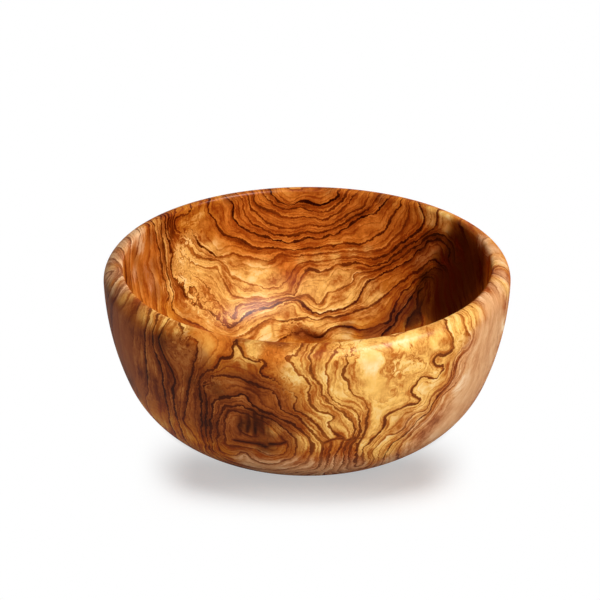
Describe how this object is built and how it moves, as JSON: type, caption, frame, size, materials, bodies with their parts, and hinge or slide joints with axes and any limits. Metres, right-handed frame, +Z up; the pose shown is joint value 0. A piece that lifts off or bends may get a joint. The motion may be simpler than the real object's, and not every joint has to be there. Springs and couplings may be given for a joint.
{
  "type": "salad bowl",
  "caption": "Round salad bowl turned from one block of olive wood, with a rounded rim, a curved wall and a flat foot, for tossing and serving food.",
  "frame": {"origin": "on the bowl's axis, at the middle of the flat foot", "axes": "+Z up along the bowl's axis, out of its mouth; -Y is the side that the picture shows in front"},
  "size_m": [0.25, 0.25, 0.105],
  "materials": {
    "olive_wood": "oiled satin, golden brown with dark wavy figure"
  },
  "bodies": {
    "root": {"bowl": "olive_wood"}
  },
  "joints": []
}
